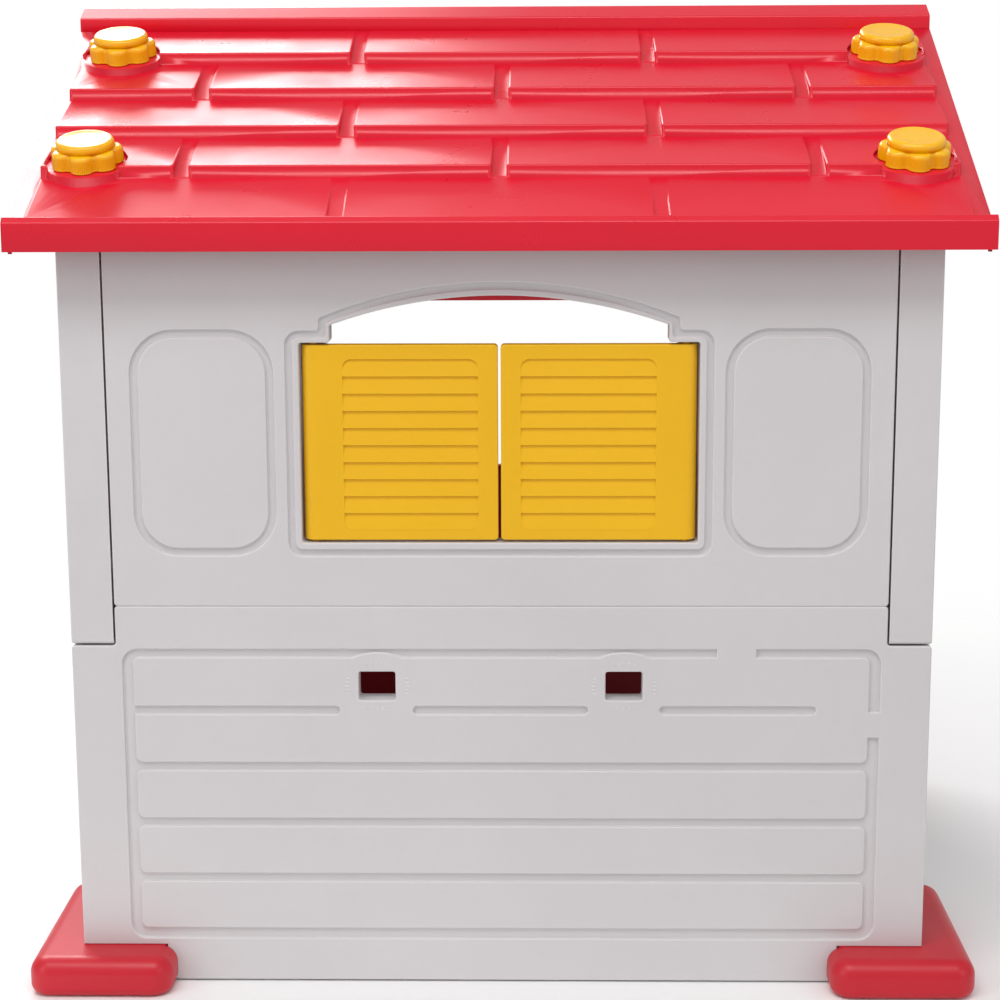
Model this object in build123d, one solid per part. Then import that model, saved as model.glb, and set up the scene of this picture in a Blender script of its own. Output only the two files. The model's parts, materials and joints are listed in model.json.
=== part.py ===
from build123d import *
import math
import os

# Plastic playhouse: four interlocking walls on corner feet, under a tiled pitched roof.
# X runs along the ridge, -Y is the front with the shuttered window, +Y is the rear with
# the doorway, and Z is up from the ground. All sizes are in millimetres.

# ---- Overall sizes -------------------------------------------------------------------
HOUSE_WIDTH = 931.0        # X, over the gable walls
HOUSE_DEPTH = 796.0        # Y, over the front and rear walls
ROOF_LENGTH = 1020.0       # X, over the ends of the eaves
ROOF_DEPTH = 890.0         # Y, from eave face to eave face
HALF_WIDTH = HOUSE_WIDTH / 2
HALF_DEPTH = HOUSE_DEPTH / 2
EAVE_Y = ROOF_DEPTH / 2

# ---- Moulded wall panels -------------------------------------------------------------
FRONT_PANEL = 28.0         # how deep the front and rear panels are
SIDE_PANEL = 46.0          # how deep the gable panels are
SKIN = 3.0
FLANGE = 3.0
RIB = 2.5
RIB_SETBACK = 6.0          # ribs stop short of the panel's open back
GROOVE_DEPTH = 3.6
EDGE_RADIUS = 1.8
ARCH_EDGE_RADIUS = 1.2     # on the rear panel, whose door arch leaves narrow bands
PANEL_CORNER = 4.0
SEAM = 2.0                 # visible gap between neighbouring panels
FRONT_SEAM_Z = 430.0       # where the upper front and rear panels stand on the lower ones
SIDE_SEAM_Z = 388.0        # the gable panels' corner posts reach further down
FRONT_TOP_Z = 850.0
WALL_BOTTOM_Z = 2.0
POST_INNER = HALF_WIDTH - SIDE_PANEL

# ---- Raised slats on the lower panels --------------------------------------------------
SLAT_FRAME_Z = (51.0, 382.0)
SLAT_FRAME_U = 411.0
SLAT_BOTTOM_Z = 62.5
SLAT_PITCH = 63.9
SLAT_HEIGHT = 55.0
SLAT_COUNT = 5
SLAT_MARGIN = 11.5
SLAT_RADIUS = 7.0
SLAT_FRAME_RADIUS = 17.0
GRIP_U = 134.0             # the two small square holes in the lower front panel
GRIP_Z = 341.0
GRIP_SIZE = (40.0, 32.0)
HUMP_RISE = 6.0            # the top slat arches up over each hole
HUMP_RADIUS = 63.6

# ---- Front window and its shutters -----------------------------------------------------
WINDOW_HALF = 212.0
WINDOW_Z = (500.0, 715.5)
ARCH_HALF = 179.0
ARCH_SPRING_Z = 734.0
ARCH_TOP_Z = 765.0
FRAME_HALF = 226.5
FRAME_Z = (485.5, 728.0)
FRAME_ARCH_HALF = 190.0
FRAME_ARCH_SPRING_Z = 741.5
FRAME_ARCH_TOP_Z = 779.0
FRAME_GROOVE = 7.0
OVAL_U = (239.5, 392.0)
OVAL_Z = (486.0, 729.5)
OVAL_RADIUS = 47.0
OVAL_GROOVE = 8.0
BARREL_RADIUS = 12.0       # rounded hinge edge of the shutters and of the door
PIVOT_DEPTH = 15.0         # hinge axis behind the wall's outer face
PIVOT_INSET = 14.0         # hinge axis inside the edge of the opening
LEAF_THICKNESS = 14.0
LEAF_GAP = 2.5
PIN_RADIUS = 4.0
PIN_CLEARANCE = 0.05
PIN_LENGTH = 10.0
LOUVRE_HALF = 72.0
LOUVRE_Z = (514.0, 698.0)
LOUVRE_CENTRE_U = 94.5
LOUVRE_COUNT = 10
LOUVRE_DEPTH = 2.6
LOUVRE_RADIUS = 10.0

# ---- Rear doorway and half door --------------------------------------------------------
DOOR_HALF = 260.0
THRESHOLD_Z = 45.0
DOOR_TOP_Z = 450.0
DOOR_ARCH_SPRING_Z = 700.0
DOOR_ARCH_TOP_Z = 767.0
DOOR_FRAME = 18.0
DOOR_LUG_Z = (454.0, 466.0)
DOOR_PIN_RADIUS = 5.0
DOOR_PLANKS = 4
REAR_OVAL_U = (300.0, 396.0)
GABLE_WINDOW_HALF = 130.0
GABLE_WINDOW_Z = (520.0, 690.0)
GABLE_ARCH_TOP_Z = 740.0

# ---- Roof ------------------------------------------------------------------------------
SLOPE = 0.505              # rise over run of the roof's base sheet
APEX_Z = 1062.0
SHEET = 4.5                # the sheet's thickness, measured straight down
SHEET_HALF = 506.0
BARGE_DEPTH = 30.0
EAVE_BOTTOM_Z = 815.0
EAVE_NOSE_Z = 844.5
EAVE_BEAD = 8.0            # the rounded bead above the fascia leans back this far
EAVE_BEAD_Z = 853.0
ROW_Y = (29.0, 109.0, 189.0, 269.0, 349.0, 430.0)   # lower edges of the cap and tile rows
TILE_LIP = (13.5, 13.5, 13.5, 13.5, 4.5)
TILE_HALF = 489.0
TILE_GAP = 15.0
ODD_JOINTS = (-168.5, 168.5)
EVEN_JOINTS = (-338.5, 0.0, 338.5)
TILE_SHELL = 3.5
LIP_Y = (362.0, 366.0)     # inner lip that drops behind the front and rear walls
LIP_BOTTOM_Z = 757.0
CAP_HALF = 30.0
CAP_EDGE_Z = 1062.5
CAP_PEAK_Z = 1076.8        # where the cap's slopes would meet; the rounding takes 0.8 off
CAP_SHELL = 3.5

# ---- Roof knobs -------------------------------------------------------------------------
KNOB_X = HALF_WIDTH - SIDE_PANEL / 2
KNOB_Y = (105.0, 327.0)
KNOB_TILT = 18.6           # degrees from upright, square to the tiles
PAD_RADIUS = 46.0
PAD_SINK = 5.0
KNOB_LOBES = 7
LOBE_CENTRE = 27.0
LOBE_RADIUS = 13.0
KNOB_CORE = 30.0
LOBE_HEIGHT = 19.0
KNOB_DISC = 32.0
KNOB_HEIGHT = 28.0
SHANK_RADIUS = 10.0
SHANK_LENGTH = 46.0
BOSS_RADIUS = 16.0
BOSS_DEPTH = 58.0

# ---- Feet and fasteners -----------------------------------------------------------------
FOOT_HEIGHT = 43.0
FOOT_OUT_X = 519.0
FOOT_OUT_Y = 448.0
FOOT_FRONT_END_X = 361.0
FOOT_SIDE_END_Y = 190.0
FOOT_NOTCH_X = 372.0
FOOT_NOTCH_Y = 207.0
FOOT_TOP_RADIUS = 19.0
FOOT_BOTTOM_RADIUS = 12.0
FOOT_CORNER_RADIUS = 24.0
SCREW_RADIUS = 2.0
SCREW_HEAD_RADIUS = 4.0
SCREW_HEAD = 3.0
SCREW_LENGTH = 20.0
SCREW_BOSS = 6.0
PILOT_RADIUS = 2.05
CORNER_SCREW_Z = (100.0, 320.0)
GABLE_SCREW_Z = (480.0, 800.0)
FOOT_SCREW_HEAD_Z = 25.0

FRONT = Plane(origin=(0, -HALF_DEPTH, 0), x_dir=(1, 0, 0), z_dir=(0, -1, 0))
REAR = Plane(origin=(0, HALF_DEPTH, 0), x_dir=(-1, 0, 0), z_dir=(0, 1, 0))
LEFT = Plane(origin=(-HALF_WIDTH, 0, 0), x_dir=(0, -1, 0), z_dir=(-1, 0, 0))
RIGHT = Plane(origin=(HALF_WIDTH, 0, 0), x_dir=(0, 1, 0), z_dir=(1, 0, 0))


# ---- Small building blocks ----------------------------------------------------------------
# A wall is drawn in its own plane: u runs along it, v is height, w is outward from its face.

def rectangle(u0, u1, v0, v1, radius=0.0):
    """A sketch rectangle between two corners."""
    place = Pos((u0 + u1) / 2, (v0 + v1) / 2)
    if radius > 0:
        return place * RectangleRounded(u1 - u0, v1 - v0, radius)
    return place * Rectangle(u1 - u0, v1 - v0)


def slab(sketch, w0, w1):
    """The solid of a sketch between two depths."""
    return Pos(0, 0, w0) * extrude(sketch, amount=w1 - w0)


def block(x0, x1, y0, y1, z0, z1):
    """A box between two corners."""
    return Pos((x0 + x1) / 2, (y0 + y1) / 2, (z0 + z1) / 2) * Box(x1 - x0, y1 - y0, z1 - z0)


def upright(u, w, v0, v1, radius):
    """A cylinder that stands along v inside a wall panel."""
    return Pos(u, (v0 + v1) / 2, w) * Rot(90, 0, 0) * Cylinder(radius, v1 - v0)


def bar(points, x0, x1):
    """A prism along X from an outline of (y, z) points."""
    section = Plane(origin=(x0, 0, 0), x_dir=(0, 1, 0), z_dir=(1, 0, 0))
    return section * extrude(make_face(Polyline(*points, close=True)), amount=x1 - x0)


def arched(half, bottom, spring, top):
    """A sketch with straight sides and an arc across its top."""
    sides = Polyline((half, spring), (half, bottom), (-half, bottom), (-half, spring))
    arch = ThreePointArc((-half, spring), (0, top), (half, spring))
    return make_face(Curve() + [sides, arch])


def ring(outer, width):
    """The band just inside an outline."""
    return outer - offset(outer, -width)


def round_face(solid, radius):
    """Rounds every edge of the panel's outer face, round grooves and openings too."""
    return fillet(solid.edges().filter_by_position(Axis.Z, -0.01, 0.01), radius)


def ribs(cavity, depth, u_lines, v_lines):
    """Stiffening ribs across the back of a panel."""
    box = cavity.bounding_box()
    grid = Sketch()
    for u in u_lines:
        grid += rectangle(u - RIB / 2, u + RIB / 2, box.min.Y - 1, box.max.Y + 1)
    for v in v_lines:
        grid += rectangle(box.min.X - 1, box.max.X + 1, v - RIB / 2, v + RIB / 2)
    return slab(grid & cavity, -depth + RIB_SETBACK, -SKIN)


def panel(outline, depth, openings, grooves, raised, u_lines, v_lines, edge=EDGE_RADIUS):
    """A moulded wall panel: a thin skin with a flange round it and ribs behind it.

    grooves are cut into the face; raised are the flat areas between them, behind which the
    skin comes forward again so that it stays one thickness."""
    body = slab(outline, -depth, 0)
    cavity = offset(outline, -FLANGE, kind=Kind.INTERSECTION)
    for opening in openings:
        body -= slab(opening, -depth - 1, 1)
        cavity -= offset(opening, FLANGE)
    for groove in grooves:
        body -= slab(groove, -GROOVE_DEPTH, 1)
    body = round_face(body, edge)
    body -= slab(cavity, -depth - 1, -SKIN - GROOVE_DEPTH)
    for area in raised:
        body -= slab(area & cavity, -SKIN - GROOVE_DEPTH - 1, -SKIN)
    body += ribs(cavity, depth, u_lines, v_lines)
    for groove in grooves:
        body -= slab(groove, -GROOVE_DEPTH, 1)
    return body


# ---- Slatted relief of the lower panels ---------------------------------------------------

def slat_frame(u0, u1):
    return rectangle(u0, u1, SLAT_FRAME_Z[0], SLAT_FRAME_Z[1], SLAT_FRAME_RADIUS)


def slats(u0, u1, count=SLAT_COUNT):
    """The flat slats inside one frame, lowest first."""
    found = []
    for i in range(count):
        v0 = SLAT_BOTTOM_Z + i * SLAT_PITCH
        found.append(
            rectangle(u0 + SLAT_MARGIN, u1 - SLAT_MARGIN, v0, v0 + SLAT_HEIGHT, SLAT_RADIUS)
        )
    return found


def slat_grooves(u0, u1):
    grooves = slat_frame(u0, u1)
    for slat in slats(u0, u1):
        grooves -= slat
    return grooves


def slat_raised(u0, u1):
    return [offset(slat, -SKIN, kind=Kind.INTERSECTION) for slat in slats(u0, u1)]


def front_grooves():
    """The front's slat grooves, broken round the two grip holes and at the upper right."""
    grooves = slat_frame(-SLAT_FRAME_U, SLAT_FRAME_U)
    for slat in slats(-SLAT_FRAME_U, SLAT_FRAME_U, SLAT_COUNT - 2):
        grooves -= slat
    edge = SLAT_FRAME_U - SLAT_MARGIN
    top_slat_z = SLAT_BOTTOM_Z + (SLAT_COUNT - 2) * SLAT_PITCH
    top_z = SLAT_BOTTOM_Z + (SLAT_COUNT - 1) * SLAT_PITCH + SLAT_HEIGHT
    grooves -= rectangle(-edge, edge, top_slat_z, top_z, SLAT_RADIUS)
    for side in (-1, 1):
        hump = Pos(side * GRIP_U, top_z + HUMP_RISE - HUMP_RADIUS) * Circle(HUMP_RADIUS)
        grooves -= hump & rectangle(-edge, edge, top_z - 4, top_z + HUMP_RISE + 1)
    hump_ends = [v for v in grooves.vertices() if abs(v.Y - top_z) < 0.1 and abs(v.X) < 220]
    grooves = fillet(hump_ends, 4)
    half = (SLAT_PITCH - SLAT_HEIGHT) / 2
    middle_z = top_slat_z + SLAT_HEIGHT + half
    for u0, u1 in ((-edge - 6, -175), (-95, 95), (173, 342)):
        slot = rectangle(u0, u1, middle_z - half, middle_z + half, half - 0.05)
        grooves += slot
    grooves -= rectangle(234, 277, top_z - 2, SLAT_FRAME_Z[1] + 2)
    grooves -= rectangle(edge - 2, SLAT_FRAME_U + 2, 283, 312)
    return grooves


# ---- Wall panels ----------------------------------------------------------------------------

def lower_outline(opening=None):
    """Full width, with top corners cut away for the posts and bottom ones for the feet."""
    outline = rectangle(-HALF_WIDTH, HALF_WIDTH, WALL_BOTTOM_Z, FRONT_SEAM_Z)
    for side in (-1, 1):
        u0, u1 = sorted((side * (POST_INNER - SEAM), side * (HALF_WIDTH + 1)))
        outline -= rectangle(u0, u1, SIDE_SEAM_Z - SEAM, FRONT_SEAM_Z + 1)
    if opening:
        outline -= opening
    outline = fillet(outline.vertices(), PANEL_CORNER)
    for side in (-1, 1):
        u0, u1 = sorted((side * FOOT_NOTCH_X, side * (HALF_WIDTH + 1)))
        outline -= rectangle(u0, u1, 0, FOOT_HEIGHT)
    return outline


def pilot(u, v, depth):
    """A screw boss behind the skin, and its hole from the open back."""
    boss = Pos(u, v, -depth / 2 - SKIN / 2) * Cylinder(SCREW_BOSS, depth - SKIN)
    hole = Pos(u, v, -depth + SCREW_LENGTH / 2 - 0.5) * Cylinder(PILOT_RADIUS, SCREW_LENGTH + 1)
    return boss, hole


def foot_pilot(u, w):
    """A screw boss that stands on the panel's bottom flange, over a foot."""
    boss = upright(u, w, FOOT_HEIGHT, FOOT_HEIGHT + 26, SCREW_BOSS)
    hole = upright(u, w, FOOT_HEIGHT - 1, FOOT_HEIGHT + 24, PILOT_RADIUS)
    return boss, hole


def add_bosses(body, bosses):
    for boss, _ in bosses:
        body += boss
    for _, hole in bosses:
        body -= hole
    return body


def lower_bosses():
    """Screw bosses of a full-width lower panel: into the side panels and over the feet."""
    bosses = []
    for side in (-1, 1):
        for z in CORNER_SCREW_Z:
            bosses.append(pilot(side * (HALF_WIDTH - SIDE_PANEL / 2), z, FRONT_PANEL))
        bosses.append(foot_pilot(side * 400, -FRONT_PANEL / 2))
    return bosses


def front_lower_wall():
    grips = [
        rectangle(
            side * GRIP_U - GRIP_SIZE[0] / 2, side * GRIP_U + GRIP_SIZE[0] / 2,
            GRIP_Z - GRIP_SIZE[1] / 2, GRIP_Z + GRIP_SIZE[1] / 2, 3.0,
        )
        for side in (-1, 1)
    ]
    raised = slat_raised(-SLAT_FRAME_U, SLAT_FRAME_U)
    body = panel(
        lower_outline(), FRONT_PANEL, grips, [front_grooves()], raised,
        (-300, -60, 60, 300), (122, 250),
    )
    return FRONT * add_bosses(body, lower_bosses())


def rear_lower_wall():
    """A low U: two wide jambs joined by the threshold."""
    outline = lower_outline(rectangle(-DOOR_HALF, DOOR_HALF, THRESHOLD_Z, FRONT_SEAM_Z + 1))
    spans = ((-SLAT_FRAME_U, -DOOR_HALF - 20), (DOOR_HALF + 20, SLAT_FRAME_U))
    grooves = [slat_grooves(u0, u1) for u0, u1 in spans]
    raised = [area for u0, u1 in spans for area in slat_raised(u0, u1)]
    body = panel(outline, FRONT_PANEL, [], grooves, raised, (), (122, 250))
    pivot_u = DOOR_HALF - PIVOT_INSET
    body += slab(rectangle(pivot_u - 11, pivot_u + 11, THRESHOLD_Z - 16, THRESHOLD_Z),
                 -FRONT_PANEL, -SKIN)
    body -= upright(pivot_u, -PIVOT_DEPTH, THRESHOLD_Z - 13, THRESHOLD_Z + 1,
                    DOOR_PIN_RADIUS + PIN_CLEARANCE)
    return REAR * add_bosses(body, lower_bosses())


def upper_outline():
    half = POST_INNER - SEAM
    return rectangle(-half, half, FRONT_SEAM_Z, FRONT_TOP_Z)


def gable_screw_holes():
    """Clearance holes through the end flanges of an upper front or rear panel."""
    holes = []
    for side in (-1, 1):
        for z in GABLE_SCREW_Z:
            hole = Rot(0, 90, 0) * Cylinder(PILOT_RADIUS, 2 * FLANGE + 2)
            holes.append(Pos(side * (POST_INNER - SEAM - FLANGE / 2), z, -FRONT_PANEL / 2) * hole)
    return holes


def oval_relief(u0, u1):
    """A groove round a long rounded field, and the field's hollow behind."""
    outer = rectangle(u0, u1, OVAL_Z[0], OVAL_Z[1], min(OVAL_RADIUS, (u1 - u0) / 2 - 1))
    field = offset(outer, -OVAL_GROOVE)
    return outer - field, offset(field, -SKIN)


def frame_outline(inset):
    """Line of the front window's moulded frame: square shoulders under a low arch.

    The arch's springing drops by less than the inset, because its line slants there."""
    half, arch_half = FRAME_HALF - inset, FRAME_ARCH_HALF - inset
    low, shoulder = FRAME_Z[0] + inset, FRAME_Z[1] - inset
    spring = FRAME_ARCH_SPRING_Z - 0.66 * inset
    shoulders = Polyline(
        (-arch_half, spring), (-arch_half, shoulder), (-half, shoulder), (-half, low),
        (half, low), (half, shoulder), (arch_half, shoulder), (arch_half, spring),
    )
    arch = ThreePointArc((arch_half, spring), (0, FRAME_ARCH_TOP_Z - inset), (-arch_half, spring))
    outline = make_face(Curve() + [shoulders, arch])
    outline = fillet([v for v in outline.vertices() if abs(v.X) > half - 1], 15 - inset)
    return fillet([v for v in outline.vertices() if abs(abs(v.X) - arch_half) < 0.1], 4)


def window_opening():
    opening = rectangle(-WINDOW_HALF, WINDOW_HALF, WINDOW_Z[0], WINDOW_Z[1])
    opening += arched(ARCH_HALF, WINDOW_Z[0] + 60, ARCH_SPRING_Z, ARCH_TOP_Z)
    return fillet(opening.vertices(), 3)


def front_upper_wall():
    frame_groove = frame_outline(0) - frame_outline(FRAME_GROOVE)
    reliefs = [oval_relief(*sorted((s * OVAL_U[0], s * OVAL_U[1]))) for s in (-1, 1)]
    grooves = [groove for groove, _ in reliefs] + [frame_groove]
    raised = [field for _, field in reliefs]
    body = panel(
        fillet(upper_outline().vertices(), PANEL_CORNER), FRONT_PANEL, [window_opening()], grooves, raised,
        (-316, 316), (457, 815),
    )
    for side in (-1, 1):
        u = side * (WINDOW_HALF - PIVOT_INSET)
        for v0, v1 in ((WINDOW_Z[1], WINDOW_Z[1] + 16), (WINDOW_Z[0] - 14, WINDOW_Z[0])):
            body += slab(rectangle(u - 10, u + 10, v0, v1), -FRONT_PANEL, -GROOVE_DEPTH - 0.5)
        for v0, v1 in (
            (WINDOW_Z[1] - 1, WINDOW_Z[1] + PIN_LENGTH + 1),
            (WINDOW_Z[0] - PIN_LENGTH - 1, WINDOW_Z[0] + 1),
        ):
            body -= upright(u, -PIVOT_DEPTH, v0, v1, PIN_RADIUS + PIN_CLEARANCE)
    for hole in gable_screw_holes():
        body -= hole
    return FRONT * body


def rear_upper_wall():
    """The rear wall above the seam, open below the door arch."""
    doorway = arched(DOOR_HALF, FRONT_SEAM_Z - 1, DOOR_ARCH_SPRING_Z, DOOR_ARCH_TOP_Z)
    outline = fillet((upper_outline() - doorway).vertices(), PANEL_CORNER - 1)
    frame = arched(
        DOOR_HALF + DOOR_FRAME, FRONT_SEAM_Z - 20, DOOR_ARCH_SPRING_Z, DOOR_ARCH_TOP_Z + DOOR_FRAME
    )
    frame_groove = (frame - offset(frame, -FRAME_GROOVE)) & rectangle(
        -POST_INNER, POST_INNER, FRONT_SEAM_Z + 12, FRONT_TOP_Z
    )
    reliefs = [oval_relief(*sorted((s * REAR_OVAL_U[0], s * REAR_OVAL_U[1]))) for s in (-1, 1)]
    body = panel(
        outline, FRONT_PANEL, [], [frame_groove] + [groove for groove, _ in reliefs],
        [field for _, field in reliefs], (), (457, 815), ARCH_EDGE_RADIUS,
    )
    pivot_u = DOOR_HALF - PIVOT_INSET
    lug = rectangle(pivot_u - 11, DOOR_HALF + 4, DOOR_LUG_Z[0], DOOR_LUG_Z[1], 3)
    body += slab(lug, -FRONT_PANEL, -SKIN - 2)
    body -= upright(pivot_u, -PIVOT_DEPTH, DOOR_LUG_Z[0] - 1, DOOR_LUG_Z[1] + 1,
                    DOOR_PIN_RADIUS + PIN_CLEARANCE)
    for hole in gable_screw_holes():
        body -= hole
    return REAR * body


def base_z(y):
    """Height of the roof's base sheet at a distance from the ridge."""
    return APEX_Z - SLOPE * abs(y)


def gable_outline():
    eave = base_z(HALF_DEPTH) - SHEET - 0.5
    apex = base_z(0) - SHEET - 0.5
    outline = make_face(Polyline(
        (-HALF_DEPTH, SIDE_SEAM_Z), (HALF_DEPTH, SIDE_SEAM_Z), (HALF_DEPTH, eave),
        (0, apex), (-HALF_DEPTH, eave), close=True,
    ))
    lower = outline.vertices().filter_by_position(Axis.Y, SIDE_SEAM_Z - 1, SIDE_SEAM_Z + 1)
    return fillet(lower, PANEL_CORNER)


def pad_height(y):
    """Height of a knob pad's centre: the tile's face, less the sink."""
    row = 0 if y < ROW_Y[1] else 3
    return tile_z(row, y) - PAD_SINK


def tile_z(row, y):
    """Height of a tile's face at a distance from the ridge. It meets the sheet at the top."""
    y0, y1 = ROW_Y[row], ROW_Y[row + 1]
    drop = base_z(y0) - (base_z(y1) + TILE_LIP[row])
    return base_z(y0) - drop * (y - y0) / (y1 - y0)


def knob_place(side, y):
    """The frame of one knob: origin on its pad, Z along its shank, away from the house."""
    front = -1 if y < 0 else 1
    return Pos(side * KNOB_X, y, pad_height(abs(y))) * Rot(-front * KNOB_TILT, 0, 0)


def gable_wall(side, plane):
    """A gable panel with corner posts, a window, and the bosses that the knobs screw into."""
    window = arched(GABLE_WINDOW_HALF, GABLE_WINDOW_Z[0], GABLE_WINDOW_Z[1], GABLE_ARCH_TOP_Z)
    window = fillet(window.vertices(), 3)
    frame = arched(
        GABLE_WINDOW_HALF + DOOR_FRAME, GABLE_WINDOW_Z[0] - DOOR_FRAME,
        GABLE_WINDOW_Z[1], GABLE_ARCH_TOP_Z + DOOR_FRAME,
    )
    frame = fillet(frame.vertices(), 10)
    reliefs = [oval_relief(*sorted((s * 200, s * 340))) for s in (-1, 1)]
    outline = gable_outline()
    body = panel(
        outline, SIDE_PANEL, [window], [ring(frame, FRAME_GROOVE)] + [g for g, _ in reliefs],
        [field for _, field in reliefs], (-170, 170), (430, 815),
    )
    for end in (-1, 1):
        for z in GABLE_SCREW_Z:
            u0, u1 = sorted((end * (HALF_DEPTH - 1), end * (HALF_DEPTH - 24)))
            body += slab(rectangle(u0, u1, z - 9, z + 9), -SIDE_PANEL, -SKIN)
            screw = Pos(end * (HALF_DEPTH - FRONT_PANEL / 2), z, -SIDE_PANEL + SCREW_LENGTH / 2 - 2)
            body -= screw * Cylinder(PILOT_RADIUS, SCREW_LENGTH)
    wall = plane * body
    envelope = plane * slab(outline, -SIDE_PANEL, 0)
    for y in [end * y for end in (-1, 1) for y in KNOB_Y]:
        place = knob_place(side, y)
        boss = place * Pos(0, 0, -BOSS_DEPTH / 2) * Cylinder(BOSS_RADIUS, BOSS_DEPTH)
        wall += boss & envelope
        wall -= place * Pos(0, 0, -SHANK_LENGTH / 2) * Cylinder(SHANK_RADIUS + 0.05, SHANK_LENGTH + 6)
    return wall


def side_lower_wall(plane):
    half = HALF_DEPTH - FRONT_PANEL
    outline = rectangle(-half, half, WALL_BOTTOM_Z, SIDE_SEAM_Z)
    outline = fillet(outline.vertices(), PANEL_CORNER)
    outline -= rectangle(-half - 1, -FOOT_NOTCH_Y, 0, FOOT_HEIGHT)
    outline -= rectangle(FOOT_NOTCH_Y, half + 1, 0, FOOT_HEIGHT)
    span = half - 28
    body = panel(
        outline, SIDE_PANEL, [], [slat_grooves(-span, span)], slat_raised(-span, span),
        (-170, 0, 170), (122, 250),
    )
    bosses = [foot_pilot(end * 300, -SIDE_PANEL / 2) for end in (-1, 1)]
    body = add_bosses(body, bosses)
    for end in (-1, 1):
        for z in CORNER_SCREW_Z:
            hole = Rot(0, 90, 0) * Cylinder(PILOT_RADIUS, 2 * FLANGE + 2)
            body -= Pos(end * (half - FLANGE / 2), z, -SIDE_PANEL / 2) * hole
    return plane * body


# ---- Shutters and half door ---------------------------------------------------------------

def leaf(u0, u1, v0, v1, pin_radius, pin_top, pin_bottom):
    """A hollow-backed leaf whose hinge edge, at u0, is a round barrel with a pin at each end."""
    skin_w = -PIVOT_DEPTH + BARREL_RADIUS
    pivot_u = u0 + BARREL_RADIUS
    body = slab(rectangle(pivot_u, u1, v0, v1), skin_w - LEAF_THICKNESS, skin_w)
    free = body.edges().filter_by_position(Axis.X, u1 - 0.1, u1 + 0.1)
    body = fillet(free.filter_by(Axis.Z), 4)
    body += upright(pivot_u, -PIVOT_DEPTH, v0, v1, BARREL_RADIUS)
    rim = body.edges().filter_by_position(Axis.Z, skin_w - 0.01, skin_w + 0.01)
    body = fillet(rim.filter_by(Axis.X), 1.5)
    body -= slab(
        rectangle(pivot_u + BARREL_RADIUS + 2, u1 - FLANGE, v0 + FLANGE, v1 - FLANGE),
        skin_w - LEAF_THICKNESS - 1, skin_w - 2 * SKIN,
    )
    body += upright(pivot_u, -PIVOT_DEPTH, v0 - pin_bottom, v1 + pin_top, pin_radius)
    return body


def louvres(centre_u, skin_w):
    """A shallow recess with a stack of slanting slats, each proud at its lower edge."""
    u0, u1 = centre_u - LOUVRE_HALF, centre_u + LOUVRE_HALF
    outline = rectangle(u0, u1, LOUVRE_Z[0], LOUVRE_Z[1], LOUVRE_RADIUS)
    recess = slab(outline, skin_w - LOUVRE_DEPTH, skin_w + 1)
    pitch = (LOUVRE_Z[1] - LOUVRE_Z[0]) / LOUVRE_COUNT
    slat = Plane(origin=(u0 - 1, 0, 0), x_dir=(0, 1, 0), z_dir=(1, 0, 0))
    stack = Part()
    for i in range(LOUVRE_COUNT):
        v = LOUVRE_Z[0] + i * pitch
        section = make_face(Polyline(
            (v, skin_w - LOUVRE_DEPTH - 1), (v, skin_w + 0.4), (v + pitch, skin_w - LOUVRE_DEPTH + 0.3),
            (v + pitch, skin_w - LOUVRE_DEPTH - 1), close=True,
        ))
        stack += slat * extrude(section, amount=2 * LOUVRE_HALF + 2)
    taper = slab(outline, skin_w - LOUVRE_DEPTH - 1, skin_w + 2)
    return recess, stack & taper


def shutter(side):
    """One shutter, drawn on the left of the window and mirrored for the right."""
    skin_w = -PIVOT_DEPTH + BARREL_RADIUS
    body = leaf(
        -WINDOW_HALF + PIVOT_INSET - BARREL_RADIUS, -1.5,
        WINDOW_Z[0] + LEAF_GAP, WINDOW_Z[1] - LEAF_GAP, PIN_RADIUS, PIN_LENGTH + 2, PIN_LENGTH + 2,
    )
    recess, stack = louvres(-LOUVRE_CENTRE_U, skin_w)
    body = FRONT * (body - recess + stack)
    return body if side < 0 else mirror(body, about=Plane.YZ)


def half_door():
    """A planked half door with a hand hold cut through near its free top corner."""
    skin_w = -PIVOT_DEPTH + BARREL_RADIUS
    u_hinge = DOOR_HALF - PIVOT_INSET + BARREL_RADIUS
    v0, v1 = THRESHOLD_Z + LEAF_GAP, DOOR_TOP_Z
    body = leaf(-u_hinge, DOOR_HALF - SEAM, v0, v1, DOOR_PIN_RADIUS, 14, 12)
    inner0, inner1 = -u_hinge + 2 * BARREL_RADIUS + 14, DOOR_HALF - 22
    field = rectangle(inner0, inner1, v0 + 22, v1 - 70, 14)
    planks = field - offset(field, -OVAL_GROOVE)
    step = (inner1 - inner0) / DOOR_PLANKS
    for i in range(1, DOOR_PLANKS):
        u = inner0 + i * step
        planks += rectangle(u - OVAL_GROOVE / 2, u + OVAL_GROOVE / 2, v0 + 24, v1 - 72)
    body -= slab(planks, skin_w - GROOVE_DEPTH + 0.5, skin_w + 1)
    hold = rectangle(inner1 - 110, inner1 - 20, v1 - 52, v1 - 22, 14.9)
    rim = slab(offset(hold, FLANGE), skin_w - LEAF_THICKNESS, skin_w - SKIN)
    body = body + rim - slab(hold, skin_w - LEAF_THICKNESS - 1, skin_w + 1)
    return REAR * mirror(body, about=Plane.YZ)


# ---- Roof ----------------------------------------------------------------------------------

def tile_spans(row):
    joints = ODD_JOINTS if row % 2 == 0 else EVEN_JOINTS
    starts = [-TILE_HALF] + [x + TILE_GAP / 2 for x in joints]
    ends = [x - TILE_GAP / 2 for x in joints] + [TILE_HALF]
    return list(zip(starts, ends))


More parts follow.
